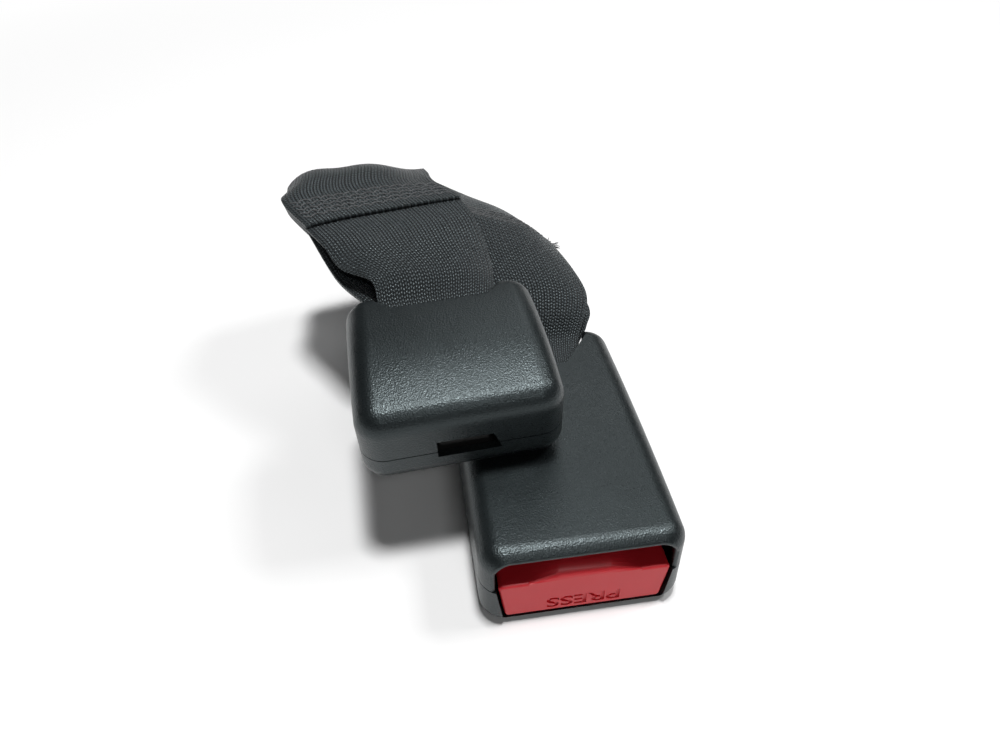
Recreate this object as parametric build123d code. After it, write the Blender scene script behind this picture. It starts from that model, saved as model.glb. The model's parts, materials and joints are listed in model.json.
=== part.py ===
"""Seat belt buckle pair on one folded strap.

A full-size buckle head with a push button lies flat, and a short receptacle head rests on its rear
corner. One strap of webbing joins them: it runs round a steel bar in each head, lies in three
stitched layers between the heads and folds over behind them.

Row frame, in millimetres: the origin is the middle of the buckle's flat underside, +X across the
buckle, +Y from its tongue slot towards the webbing, +Z up. Each head is modelled in its own frame,
with its slot face at y = 0 and its underside at z = 0, and is then moved to its place.
"""
import os
from math import asin, cos, degrees, radians, sin

from build123d import *

# ---------------------------------------------------------------- general sizes
wall = 2.0                     # moulded wall of every cover
running_clearance = 0.15       # between a sliding piece and its guide
pin_clearance = 0.05           # radial, pin in hole
seam_rim = 1.0                 # thickness of the locating rim inside the seam
seam_rim_height = 1.4
coil_steps = 9                 # straight runs in one turn of a coil spring
seam_groove = 0.3              # width and depth of the groove where two covers meet
sheet_steel = 1.6              # both frames are stamped from this sheet
tongue_gap = 2.6               # height of the path of the tongue under the frame

# ---------------------------------------------------------------- webbing
webbing_width = 47.5
webbing_thickness = 1.2
gathered_width = 31.0          # the webbing narrows to this where it enters a head
layer_clearance = 0.1          # between stitched layers, and between webbing and steel
loop_spread = 0.7              # the two runs of a loop open by this much where they leave a head

# ---------------------------------------------------------------- buckle head
buckle_width = 51.6
buckle_rear_width = 50.4
buckle_length = 86.6
buckle_front_height = 25.2
buckle_rear_height = 24.4
buckle_crown = 1.5             # the top is arched by this much over its length
buckle_parting = 13.0          # height of the seam between the covers
buckle_corner_radius = 6.6
buckle_top_radius = 5.5
buckle_bottom_radius = 4.8
lip_height = 22.3              # underside of the upper cover's lip over the slot
mouth_width = 44.0
mouth_corner = 3.5
mouth_round = 0.8              # round of the mouth's outer edge
mouth_floor_width = 40.6
notch_depth = 18.6             # rear notch in the top skin
notch_floor_width = 18.8
notch_mouth_width = 37.6
notch_flare = 14.0             # length of the notch's slanted sides
notch_radius = 3.0

buckle_frame_width = 30.0
buckle_frame_front = 7.0
buckle_wall_front = 24.0       # where the frame's side walls start
buckle_wall_depth = 10.9       # side walls reach this far below the frame plate
buckle_step = 4.0              # the rear of the frame is set down by this much
buckle_step_length = 5.0
tail_width = 40.0              # width of a frame's rear end, round the webbing slot
strap_slot_length = 5.5
strap_slot_margin = 2.0        # steel between the slot and the bend ahead of it
strap_bar_length = 5.5         # fore-and-aft size of the bar that carries the webbing
buckle_bar_setback = 8.0       # bar ahead of the rear wall of the buckle
receptacle_bar_setback = 0.8
spring_stop = 1.6              # thickness of the tab that an ejector spring bears on
spring_tab_depth = 4.2
rib_half_length = 12.0         # of the ribs that press a frame down
latch_spring_radius = 2.3
latch_spring_setback = 11.0    # from the pivot to the latch spring
receptacle_latch_spring_setback = 8.0

buckle_pivot_setback = 3.0     # pivot ahead of the rear end of the side walls
buckle_pivot_drop = 6.9        # pivot below the underside of the frame plate
buckle_pin_radius = 1.5
buckle_latch_thickness = 2.2
buckle_tooth_y = 28.0
buckle_tooth_length = 4.4
buckle_tooth_width = 10.0
buckle_ear_y = 36.0
buckle_ear_drop = 3.3          # the ears go down by this much, which takes the tooth out
buckle_ear_radius = 1.5
button_travel = 7.0
button_wall = 2.0
button_front = 0.8             # set back of the button's face
button_depth = 13.0
button_boss = 2.2              # bosses behind the button that centre its springs
button_arm = 2.6
button_hump_width = 28.0
button_hump_top_width = 12.6
button_shoulder_rise = 1.8     # shoulders of the button above the seam
button_slope = 4.2             # the hump's front leans back over this depth
button_round = 0.8             # round of the edges of the button's face
hump_root = 1.6                # the hump is rooted this deep in the button
hump_steps = 5                 # flats in the roll of the hump
button_gap = 0.5               # all round, to the mouth
button_spring_x = 9.0
button_spring_z = 6.4
button_spring_radius = 2.0
button_spring_length = 18.0
buckle_ejector_y = 29.0
buckle_ejector_spring_length = 11.0

# ---------------------------------------------------------------- receptacle head
receptacle_width = 52.4
receptacle_rear_width = 50.6
receptacle_length = 46.3
receptacle_front_height = 23.4
receptacle_rear_height = 22.4
receptacle_crown = 3.2
receptacle_parting = 10.0
receptacle_corner_radius = 6.6
receptacle_top_radius = 6.2
receptacle_bottom_radius = 5.6
keyhole_bottom = 8.0           # the small slot in the receptacle's front face
keyhole_height = 6.0
keyhole_width = 14.2
keyhole_slant = 2.0
receptacle_notch_depth = 7.6
receptacle_notch_floor_width = 25.0
receptacle_notch_mouth_width = 34.0
receptacle_notch_flare = 4.5
receptacle_notch_round = 1.0   # round of the notch's upper edge

receptacle_frame_width = 26.0
receptacle_frame_front = 4.0
receptacle_wall_front = 12.0
receptacle_wall_depth = 9.2
receptacle_pivot_setback = 2.0
receptacle_pivot_drop = 5.9
receptacle_pin_radius = 1.2
receptacle_latch_thickness = 2.0
receptacle_tooth_y = 12.6
receptacle_tooth_length = 4.6
receptacle_tooth_width = 6.4
receptacle_ear_y = 20.0
receptacle_ear_drop = 2.66
receptacle_ear_radius = 1.2
slider_travel = 4.0
slider_front = 3.2
slider_pad_width = 12.6
slider_pad_height = 2.3
slider_bridge = 2.7
slider_boss = 1.3
slider_arm = 2.2
slider_depth = 5.2             # the slider reaches this far below the latch's pivot
slider_spring_x = 18.2
slider_spring_length = 14.8
receptacle_ejector_y = 15.0
receptacle_ejector_spring_length = 7.4

# Place of the receptacle: the middle of the front edge of its underside, in the buckle's own
# frame, and its turns about X, Y and Z. It leans on the buckle's top and on the stiff strap.
receptacle_corner = (-24.7, 30.2, 25.4)
receptacle_pitch = 8.6
receptacle_roll = -2.3
receptacle_yaw = 2.2

# Stations of the folded strap between the heads, chosen by hand along its middle layer, in the
# buckle's own frame: x, y, z of the middle of the strap, then the yaw and roll of its width.
fold_stations = (
    (-39.0, 106.5, 59.0, 11, 0),
    (-45.5, 121.0, 61.0, 12, -5),
    (-46.5, 132.0, 61.0, 14, -11),
    (-47.5, 140.0, 56.5, 16, -17),
    (-43.0, 140.5, 50.0, 17, -18),
    (-33.0, 135.0, 48.5, 17, -18),
    (-20.0, 127.0, 49.5, 15, -19),
    (-6.0, 117.5, 46.0, 9, -24),
)
# Middles of the two loops, one station for each layer: x, y, z, yaw, roll.
receptacle_loop_over = (-31.5, 92.0, 53.0, 7, -4)
receptacle_loop_under = (-33.0, 93.0, 46.5, 7, -4)
buckle_loop_over = (0.0, 102.0, 31.5, -2, -8)
buckle_loop_under = (1.0, 103.0, 25.0, -2, -8)


# ---------------------------------------------------------------- plain shapes
def block(x0, x1, y0, y1, z0, z1):
    """A box between two corners."""
    size = Box(abs(x1 - x0), abs(y1 - y0), abs(z1 - z0))
    return Pos((x0 + x1) / 2, (y0 + y1) / 2, (z0 + z1) / 2) * size


def mirrored(x0, x1, y0, y1, z0, z1):
    """The same box on both sides of the middle."""
    return block(x0, x1, y0, y1, z0, z1) + block(-x0, -x1, y0, y1, z0, z1)


def prism(points, direction, length):
    """A closed outline pushed out along a direction."""
    return extrude(make_face(Polyline(*points, close=True)), amount=length, dir=direction)


def side_prism(outline, x0, x1):
    """An outline of (y, z) points, from x0 to x1."""
    return prism([(x0, y, z) for y, z in outline], (1, 0, 0), x1 - x0)


def front_prism(outline, y0, y1):
    """An outline of (x, z) points, from y0 to y1."""
    return prism([(x, y0, z) for x, z in outline], (0, 1, 0), y1 - y0)


def plan_prism(outline, z0, z1):
    """An outline of (x, y) points, from z0 to z1."""
    return prism([(x, y, z0) for x, y in outline], (0, 0, 1), z1 - z0)


def cross_pin(y, z, radius, half_length):
    """A round bar across the head."""
    return Pos(0, y, z) * Rot(0, 90, 0) * Cylinder(radius, 2 * half_length)


def lengthwise_pin(x, z, radius, y0, y1):
    """A round bar along the head."""
    return Pos(x, (y0 + y1) / 2, z) * Rot(90, 0, 0) * Cylinder(radius, y1 - y0)


def coil(radius, wire, length, turns):
    """A compression spring standing on z = 0, with its wire inside the length."""
    path = Helix((length - 2 * wire) / turns, length - 2 * wire, radius)
    steps = turns * coil_steps
    sections = []
    for step in range(steps + 1):
        station = Plane(origin=path @ (step / steps), x_dir=(0, 0, 1), z_dir=path % (step / steps))
        sections.append(station * Rectangle(2 * wire, 1.6 * wire))
    return Pos(0, 0, wire) * loft(sections, ruled=True)


def coil_along(x, y0, z, radius, wire, length, turns):
    """A compression spring lying along the head from y0."""
    return Pos(x, y0, z) * Rot(-90, 0, 0) * coil(radius, wire, length, turns)


# ---------------------------------------------------------------- moulded covers
def housing_block(width, rear_width, length, front_height, rear_height, crown, radii, inset):
    """The outer form of a head, or the same form moved inwards by inset."""
    corner, top_edge, bottom_edge = (radius - inset for radius in radii)
    front = width / 2 - inset
    rear = rear_width / 2 - inset
    near, far = inset, length - inset
    top = max(front_height, rear_height) + crown
    plan = plan_prism([(-front, near), (front, near), (rear, far), (-rear, far)], inset, top)
    middle = (front_height + rear_height) / 2 + crown
    roof_line = ThreePointArc((-width, far, rear_height - inset), (-width, length / 2, middle - inset),
                              (-width, near, front_height - inset))
    sides = Polyline((-width, near, front_height - inset), (-width, near, inset),
                     (-width, far, inset), (-width, far, rear_height - inset))
    body = plan & extrude(make_face(roof_line + sides), amount=2 * width, dir=(1, 0, 0))
    body = fillet(body.edges().filter_by(Axis.Z), corner)
    body = fillet(body.faces().sort_by(Axis.Z)[-1].edges(), top_edge)
    return fillet(body.faces().sort_by(Axis.Z)[0].edges(), bottom_edge)


def roof(y, length, front_height, rear_height, crown):
    """Height of the inside of the arched top skin at y."""
    share = y / length
    return front_height - wall - (front_height - rear_height) * share + 4 * crown * share * (1 - share)


def notch_outline(length, depth, floor_width, mouth_width, flare):
    """Plan of the rear notch, open to the rear."""
    floor = length - depth
    past = length + 1
    return [
        (-floor_width / 2, floor), (floor_width / 2, floor), (mouth_width / 2, floor + flare),
        (mouth_width / 2, past), (-mouth_width / 2, past), (-mouth_width / 2, floor + flare),
    ]


def split_covers(outer, form, width, length, height, parting):
    """The hollow housing cut at its seam, with a locating rim on the lower half."""
    inner = form(wall)
    groove = form(0) - form(seam_groove)
    groove = groove & block(-width, width, -1, length + 1, parting - seam_groove / 2,
                            parting + seam_groove / 2)
    hollow = outer - inner - groove
    upper = hollow & block(-width, width, -1, length + 1, parting, height + 1)
    lower = hollow & block(-width, width, -1, length + 1, -1, parting)
    rim_band = block(-width, width, length * 0.2, length * 0.8, parting - 1, parting + seam_rim_height)
    rim = inner & rim_band
    reach = width / 2 - wall - seam_rim - running_clearance
    rim = rim - block(-reach, reach, -1, length + 1, 0, height)
    side = width / 2 - wall - running_clearance
    rim = rim & block(-side, side, -1, length + 1, 0, height)
    root = mirrored(side - seam_rim, width / 2 - wall / 2, length * 0.2, length * 0.8,
                    parting - 2.4, parting - 1)
    return upper, lower + rim + (root & outer)


buckle_radii = (buckle_corner_radius, buckle_top_radius, buckle_bottom_radius)
receptacle_radii = (receptacle_corner_radius, receptacle_top_radius, receptacle_bottom_radius)


def buckle_form(inset):
    return housing_block(buckle_width, buckle_rear_width, buckle_length, buckle_front_height,
                         buckle_rear_height, buckle_crown, buckle_radii, inset)


def receptacle_form(inset):
    return housing_block(receptacle_width, receptacle_rear_width, receptacle_length,
                         receptacle_front_height, receptacle_rear_height, receptacle_crown,
                         receptacle_radii, inset)


def buckle_roof(y):
    return roof(y, buckle_length, buckle_front_height, buckle_rear_height, buckle_crown)


def receptacle_roof(y):
    return roof(y, receptacle_length, receptacle_front_height, receptacle_rear_height, receptacle_crown)


# ---------------------------------------------------------------- places that follow from the sizes
buckle_top = buckle_front_height + buckle_crown + 1            # above all of the buckle
receptacle_top = receptacle_front_height + receptacle_crown + 1
buckle_bar_rear = buckle_length - wall - buckle_bar_setback
buckle_bar_front = buckle_bar_rear - strap_bar_length
buckle_bend_end = buckle_bar_front - strap_slot_length - strap_slot_margin - 0.4
buckle_wall_rear = buckle_bend_end - buckle_step_length - 0.2
buckle_pivot_y = buckle_wall_rear - buckle_pivot_setback
buckle_latch_angle = degrees(asin(buckle_ear_drop / (buckle_pivot_y - buckle_ear_y)))
buckle_latch_spring_y = buckle_pivot_y - latch_spring_setback
buckle_ejector_stop = buckle_wall_rear - 1.0
buckle_ejector_end = buckle_ejector_stop - buckle_ejector_spring_length

buckle_frame_top = buckle_roof(buckle_frame_front) - 0.55
buckle_frame_under = buckle_frame_top - sheet_steel
buckle_path_floor = buckle_frame_under - tongue_gap
buckle_pivot_z = buckle_frame_under - buckle_pivot_drop
buckle_tail_top = buckle_frame_top - buckle_step
hump_top = buckle_path_floor - 0.8
button_back = button_front + button_depth
button_spring_front = button_back + button_boss
button_spring_seat = button_spring_front + button_spring_length

receptacle_bar_rear = receptacle_length - wall - receptacle_bar_setback
receptacle_bar_front = receptacle_bar_rear - strap_bar_length
receptacle_wall_rear = receptacle_bar_front - strap_slot_length + 0.5
receptacle_pivot_y = receptacle_wall_rear - receptacle_pivot_setback
receptacle_latch_angle = degrees(asin(receptacle_ear_drop / (receptacle_pivot_y - receptacle_ear_y)))
receptacle_latch_spring_y = receptacle_pivot_y - receptacle_latch_spring_setback
receptacle_ejector_stop = receptacle_wall_rear - 0.5 - spring_stop
receptacle_ejector_end = receptacle_ejector_stop - receptacle_ejector_spring_length
receptacle_frame_under = keyhole_bottom + keyhole_height + 0.2
receptacle_frame_top = receptacle_frame_under + sheet_steel
receptacle_pivot_z = receptacle_frame_under - receptacle_pivot_drop
pad_bottom = keyhole_bottom + 0.3
pad_top = pad_bottom + slider_pad_height
slider_back = slider_front + slider_bridge + slider_boss


def buckle_covers():
    upper, lower = split_covers(buckle_form(0), buckle_form, buckle_width, buckle_length,
                                buckle_top, buckle_parting)
    half_mouth = mouth_width / 2
    arch = front_prism([(-half_mouth, buckle_parting - 1), (half_mouth, buckle_parting - 1),
                        (half_mouth, lip_height), (-half_mouth, lip_height)], -1, wall + 1.5)
    arch = fillet(arch.edges().filter_by(Axis.Y).group_by(Axis.Z)[-1], mouth_corner)
    half_floor = mouth_floor_width / 2
    gate = front_prism([(-half_floor, wall), (half_floor, wall), (half_mouth, buckle_parting + 0.01),
                        (-half_mouth, buckle_parting + 0.01)], -1, wall + 3.5)
    notch = plan_prism(notch_outline(buckle_length, notch_depth, notch_floor_width,
                                     notch_mouth_width, notch_flare), buckle_parting,
                       buckle_top)
    notch = fillet(notch.edges().filter_by(Axis.Z).group_by(Axis.Y)[0], notch_radius)
    upper = upper - arch - notch
    lower = lower - gate
    arch_edges = upper.edges().filter_by(lambda edge: edge.center().Y < mouth_round
                                         and abs(edge.center().X) < half_mouth + 0.1
                                         and buckle_parting < edge.center().Z < lip_height + 0.1)
    upper = fillet(arch_edges, mouth_round)
    # Ribs of the upper cover press the frame down, and ribs of the lower cover hold it up.
    for y in (buckle_frame_front + 4, buckle_wall_rear - 6):
        upper = upper + block(-rib_half_length, rib_half_length, y, y + 1.5, buckle_frame_top,
                              buckle_roof(y) + wall / 2)
    wall_x = buckle_frame_width / 2 - sheet_steel / 2
    wall_foot = buckle_frame_under - buckle_wall_depth
    lower = lower + mirrored(wall_x - 0.7, wall_x + 0.7, buckle_ear_y + 6, buckle_wall_rear - 1,
                             wall / 2, wall_foot)
    post_x = tail_width / 2 - 1.6
    post_front = buckle_bar_front - strap_slot_length - 1
    tail_under = buckle_tail_top - sheet_steel
    lower = lower + mirrored(post_x - 1.2, post_x + 1.2, post_front + 1.5, buckle_bar_rear - 1,
                             wall / 2, tail_under)
    skin = buckle_roof(buckle_bar_rear)
    upper = upper + mirrored(post_x - 1.0, post_x + 1.0, post_front + 1.5, post_front + 5.5,
                             buckle_tail_top, skin + wall / 2)
    # Seats of the button springs and of the latch spring.
    lower = lower + mirrored(button_spring_x - 3, button_spring_x + 3, button_spring_seat,
                             button_spring_seat + spring_stop, wall / 2, button_spring_z + 2.8)
    lower = lower + Pos(0, buckle_latch_spring_y, wall) * Cylinder(latch_spring_radius - 0.7, 3.0)
    return upper, lower


def stamped_frame(width, front, wall_front, wall_rear, wall_depth, top, step, bar_front):
    """A channel of sheet steel whose rear end is widened round the slot for the webbing."""
    under = top - sheet_steel
    half = width / 2
    bar_rear = bar_front + strap_bar_length
    drop_end = bar_front - strap_slot_length - strap_slot_margin - 0.4
    knee = drop_end - buckle_step_length
    side = [(front, under), (knee, under), (drop_end, under - step), (bar_rear, under - step),
            (bar_rear, top - step), (drop_end, top - step), (knee, top), (front, top)]
    plate = side_prism(side, -half, half)
    tail_half = tail_width / 2
    tail_start = bar_front - strap_slot_length - strap_slot_margin
    plate = plate + block(-tail_half, tail_half, tail_start, bar_rear, under - step, top - step)
    slot_half = gathered_width / 2 + 0.7
    slot = block(-slot_half, slot_half, bar_front - strap_slot_length, bar_front, 0, top + 1)
    plate = plate - slot
    bar_edges = plate.edges().filter_by(Axis.X).filter_by_position(Axis.Y, bar_front - 0.1,
                                                                   bar_front + 0.1)
    plate = fillet(bar_edges, sheet_steel * 0.45)
    cheeks = mirrored(half - sheet_steel, half, wall_front, wall_rear, under - wall_depth, under + 0.1)
    return plate + cheeks


def buckle_frame():
    frame = stamped_frame(buckle_frame_width, buckle_frame_front, buckle_wall_front,
                          buckle_wall_rear, buckle_wall_depth, buckle_frame_top, buckle_step,
                          buckle_bar_front)
    hole_half = buckle_tooth_width / 2 + 0.6
    tooth_hole = block(-hole_half, hole_half, buckle_tooth_y - 2.4,
                       buckle_tooth_y + buckle_tooth_length + 0.8, buckle_frame_under - 1,
                       buckle_frame_top + 1)
    window = ear_window(buckle_ear_y, buckle_pivot_y, buckle_latch_angle, buckle_ear_radius,
                        buckle_pivot_z, buckle_frame_width, buckle_frame_under - buckle_wall_depth)
    pivot = cross_pin(buckle_pivot_y, buckle_pivot_z, buckle_pin_radius + pin_clearance, tail_width)
    tab = block(-3, 3, buckle_ejector_stop, buckle_ejector_stop + spring_stop,
                buckle_frame_under - spring_tab_depth, buckle_frame_under + 0.1)
    return frame - tooth_hole - window - pivot + tab


def ear_window(ear_y, pivot_y, angle, radius, pivot_z, frame_width, foot):
    """Cut in the frame's side walls that lets the latch's ears swing down, open at the foot."""
    room = 0.4
    shift = (pivot_y - ear_y) * (1 - cos(radians(angle)))
    cut = block(-frame_width, frame_width, ear_y - radius - room, ear_y + shift + radius + room,
                foot - 1, pivot_z)
    return cut + cross_pin(ear_y, pivot_z, radius + room, frame_width)


def cam_slot(ear_y, pivot_y, pivot_z, angle, travel, radius, reach):
    """Slanted slot that the ears follow as the sliding piece moves back by its travel."""
    arm = pivot_y - ear_y
    end_y = pivot_y - arm * cos(radians(angle)) - travel
    end_z = pivot_z - arm * sin(radians(angle))
    room = radius + 0.3
    length = ((end_y - ear_y) ** 2 + (end_z - pivot_z) ** 2) ** 0.5
    across = (room * (end_z - pivot_z) / length, -room * (end_y - ear_y) / length)
    outline = [(ear_y + across[0], pivot_z + across[1]), (end_y + across[0], end_z + across[1]),
               (end_y - across[0], end_z - across[1]), (ear_y - across[0], pivot_z - across[1])]
    ends = cross_pin(ear_y, pivot_z, room, reach) + cross_pin(end_y, end_z, room, reach)
    return side_prism(outline, -reach, reach) + ends


def latch(width, pivot_y, pivot_z, thickness, tooth_y, tooth_length, tooth_width, tip, ear_y,
          ear_radius, ear_reach, pin_radius):
    """Latch plate with a ramped tooth, two ears and a knuckle for its pivot pin."""
    half = width / 2
    low = pivot_z - thickness / 2
    high = pivot_z + thickness / 2
    plate = block(-half, half, tooth_y - 1.2, pivot_y, low, high)
    knuckle = cross_pin(pivot_y, pivot_z, pin_radius + 1.1, half)
    ramp = [(tooth_y - 0.8, low + 0.4), (tooth_y + tooth_length, low + 0.4),
            (tooth_y + tooth_length, tip), (tooth_y + 0.55 * tooth_length, tip)]
    tooth = side_prism(ramp, -tooth_width / 2, tooth_width / 2)
    ears = cross_pin(ear_y, pivot_z, ear_radius, ear_reach)
    opening = block(-half * 0.55, half * 0.55, tooth_y + tooth_length + 3.4,
                    tooth_y + tooth_length + 6.4, low - 1, high + 1)
    opening = opening - block(-half, half, ear_y - 3, ear_y + 3, low - 1, high + 1)
    bore = cross_pin(pivot_y, pivot_z, pin_radius + pin_clearance, width)
    return plate + knuckle + tooth + ears - opening - bore


def pivot_pin(frame_width, pivot_y, pivot_z, radius):
    """Headed pin through both side walls of a frame."""
    half = frame_width / 2
    shank = cross_pin(pivot_y, pivot_z, radius, half + 0.1)
    heads = cross_pin(pivot_y, pivot_z, radius + 0.6, half + 1.0)
    return shank + (heads - cross_pin(pivot_y, pivot_z, radius + 1, half + 0.05))


def ejector(frame_width, frame_under, y, end, tooth_width, tooth_end):
    """Forked slider that the tongue pushes back, and that throws the tongue out."""
    half = frame_width / 2 - sheet_steel - running_clearance
    top = frame_under - running_clearance
    plate = block(-half, half, y, end, top - (tongue_gap - 0.3), top)
    fork_half = tooth_width / 2 + 1.0
    fork = block(-fork_half, fork_half, y - 1, tooth_end + 1.2, top - 10, top + 1)
    boss = block(-fork_half * 0.7, fork_half * 0.7, end - spring_stop, end, top - 3.7, top)
    return plate - fork + boss


def buckle_button():
    """Push button: face, hollow skirts and two arms whose slanted slots pull the latch down."""
    foot = wall + 0.6
    shoulder = buckle_parting + button_shoulder_rise
    half_foot = mouth_floor_width / 2 - button_gap
    half_shoulder = mouth_width / 2 - button_gap
    back = button_back
    crest = button_front + button_slope
    skin = button_wall * 0.8

    def front_view(half, y):
        """A face at y from the right half of its outline, bottom first."""
        points = half + [(-x, z) for x, z in reversed(half)]
        return make_face(Polyline(*[(x, y, z) for x, z in points], close=True))

    def hump_outline(rise, inset, y):
        """Front view of the hump where it stands by rise above the shoulders."""
        foot_x = button_hump_width / 2 - inset / 2
        crest_x = button_hump_top_width / 2 - inset / 2
        high = shoulder - inset
        return front_view([(foot_x, high - hump_root), (foot_x, high), (crest_x, high + rise)], y)

    hump = hump_top - shoulder
    plain = front_view([(half_foot, foot), (half_shoulder, shoulder)], button_front)
    cap = extrude(plain, amount=back - button_front, dir=(0, 1, 0))
    corners = cap.edges().filter_by(Axis.Y).filter_by(lambda edge: abs(edge.center().X) > half_foot - 1)
    cap = fillet(corners, 1.2)
    cap = fillet(cap.faces().sort_by(Axis.Y)[0].edges(), button_round)
    # The hump rolls back from the face in a quarter of an ellipse.
    turns = [radians(90) * step / hump_steps for step in range(hump_steps + 1)]
    rolls = [hump_outline(0.1 + (hump - 0.1) * sin(turn), 0, button_front + button_slope * (1 - cos(turn)))
             for turn in turns]
    cap = cap + loft(rolls, ruled=True)
    cap = cap + extrude(hump_outline(hump, 0, crest), amount=back - crest, dir=(0, 1, 0))
    hollow = extrude(hump_outline(hump, skin, crest + skin), amount=back, dir=(0, 1, 0))
    hollow = hollow + extrude(front_view([(half_foot - skin, foot + skin),
                                          (half_shoulder - skin, shoulder - skin)], crest + skin),
                              amount=back, dir=(0, 1, 0))
    room = button_front + button_wall
    low_hollow = block(skin - half_foot, half_foot - skin, room, back + 1, foot + skin, shoulder - 3.6)
    cap = cap - hollow - low_hollow
    arm_in = buckle_frame_width / 2 + 0.3
    arm_out = arm_in + button_arm
    arm_end = buckle_ear_y + 5.5
    arm_bottom = buckle_pivot_z - 7.0
    arms = mirrored(arm_in, arm_out, button_front + 1, back + 2, arm_bottom, shoulder - 0.8)
    arms = arms + mirrored(arm_in, arm_out, back, arm_end, arm_bottom, buckle_pivot_z + 3.4)
    arms = arms - cam_slot(buckle_ear_y, buckle_pivot_y, buckle_pivot_z, buckle_latch_angle,
                           button_travel, buckle_ear_radius, buckle_width)
    for x in (-button_spring_x, button_spring_x):
        cap = cap + lengthwise_pin(x, button_spring_z, button_spring_radius + 0.3, button_front + 1,
                                   button_spring_front)
    return cap + arms


def buckle_head():
    """All pieces of the buckle in its own frame, by node name."""
    upper, lower = buckle_covers()
    ear_reach = buckle_frame_width / 2 + 0.3 + button_arm + 0.3
    latch_width = buckle_frame_width - 2 * sheet_steel - 1.0
    latch_low = buckle_pivot_z - buckle_latch_thickness / 2
    spring_z = buckle_frame_under - 2.05
    springs = [coil_along(x, button_spring_front, button_spring_z, button_spring_radius, 0.35,
                          button_spring_length, 7)
               for x in (-button_spring_x, button_spring_x)]
    return {
        "buckle_upper_cover": upper,
        "buckle_lower_cover": lower,
        "buckle_frame": buckle_frame(),
        "buckle_latch": latch(latch_width, buckle_pivot_y, buckle_pivot_z, buckle_latch_thickness,
                              buckle_tooth_y, buckle_tooth_length, buckle_tooth_width,
                              buckle_frame_top - 0.2, buckle_ear_y, buckle_ear_radius, ear_reach,
                              buckle_pin_radius),
        "buckle_latch_pin": pivot_pin(buckle_frame_width, buckle_pivot_y, buckle_pivot_z,
                                      buckle_pin_radius),
        "buckle_latch_spring": Pos(0, buckle_latch_spring_y, wall)
        * coil(latch_spring_radius, 0.35, latch_low - wall, 5),
        "release_button": buckle_button(),
        "button_springs": Compound(springs),
        "buckle_ejector": ejector(buckle_frame_width, buckle_frame_under, buckle_ejector_y,
                                  buckle_ejector_end, buckle_tooth_width,
                                  buckle_tooth_y + buckle_tooth_length),
        "buckle_ejector_spring": coil_along(0, buckle_ejector_end, spring_z, 1.5, 0.28,
                                            buckle_ejector_spring_length, 6),
    }


def on_receptacle_notch(edge):
    """Whether an edge is where the notch meets the top of the receptacle."""
    place = edge.center()
    skin = receptacle_roof(place.Y) + wall
    ahead = receptacle_length - receptacle_notch_depth - 0.4
    behind = receptacle_length - receptacle_top_radius * 0.65
    return abs(place.Z - skin) < 0.12 and ahead < place.Y < behind and edge.length > 1


def receptacle_covers():
    notch = plan_prism(notch_outline(receptacle_length, receptacle_notch_depth,
                                     receptacle_notch_floor_width, receptacle_notch_mouth_width,
                                     receptacle_notch_flare), receptacle_parting,
                       receptacle_top)
    notch = fillet(notch.edges().filter_by(Axis.Z).group_by(Axis.Y)[0], notch_radius)
    outer = receptacle_form(0) - notch
    outer = fillet(outer.edges().filter_by(on_receptacle_notch), receptacle_notch_round)
    upper, lower = split_covers(outer, receptacle_form, receptacle_width, receptacle_length,
                                receptacle_top, receptacle_parting)
    half = keyhole_width / 2
    top = keyhole_bottom + keyhole_height
    keyhole = front_prism([(-half, keyhole_bottom), (half + keyhole_slant, keyhole_bottom),
                           (half, top), (-half, top)], -1, wall + 0.5)
    upper = upper - keyhole
    lower = lower - keyhole
    for y in (receptacle_frame_front + 4, receptacle_wall_rear - 4):
        upper = upper + block(-9, 9, y, y + 1.5, receptacle_frame_top, receptacle_roof(y) + wall / 2)
    wall_x = receptacle_frame_width / 2 - sheet_steel / 2
    lower = lower + mirrored(wall_x - 0.7, wall_x + 0.7, receptacle_ear_y + 5,
                             receptacle_wall_rear - 1, wall / 2,
                             receptacle_frame_under - receptacle_wall_depth)
    post_x = tail_width / 2 - 1.6
    post_front = receptacle_bar_front - strap_slot_length
    lower = lower + mirrored(post_x - 1.2, post_x + 1.2, post_front + 2, receptacle_bar_rear - 1,
                             wall / 2, receptacle_frame_under)
    skin = receptacle_roof(post_front + 2)
    upper = upper + mirrored(post_x - 1.0, post_x + 1.0, post_front + 2, post_front + 6.5,
                             receptacle_frame_top, skin + wall / 4)
    seat = slider_back + slider_spring_length
    lower = lower + mirrored(slider_spring_x - 2.4, slider_spring_x + 2.4, seat, seat + 1.4,
                             wall / 2, receptacle_parting - 0.6)
    return upper, lower


def receptacle_frame():
    frame = stamped_frame(receptacle_frame_width, receptacle_frame_front, receptacle_wall_front,
                          receptacle_wall_rear, receptacle_wall_depth, receptacle_frame_top, 0,
                          receptacle_bar_front)
    hole_half = receptacle_tooth_width / 2 + 0.5
    tooth_hole = block(-hole_half, hole_half, receptacle_tooth_y - 1.6,
                       receptacle_tooth_y + receptacle_tooth_length + 0.8,
                       receptacle_frame_under - 1, receptacle_frame_top + 1)
    window = ear_window(receptacle_ear_y, receptacle_pivot_y, receptacle_latch_angle,
                        receptacle_ear_radius, receptacle_pivot_z, receptacle_frame_width,
                        receptacle_frame_under - receptacle_wall_depth)
    pivot = cross_pin(receptacle_pivot_y, receptacle_pivot_z,
                      receptacle_pin_radius + pin_clearance, tail_width)
    tab = block(-2.4, 2.4, receptacle_ejector_stop, receptacle_ejector_stop + spring_stop,
                receptacle_frame_under - 3.0, receptacle_frame_under + 0.1)
    return frame - tooth_hole - window - pivot + tab


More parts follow.
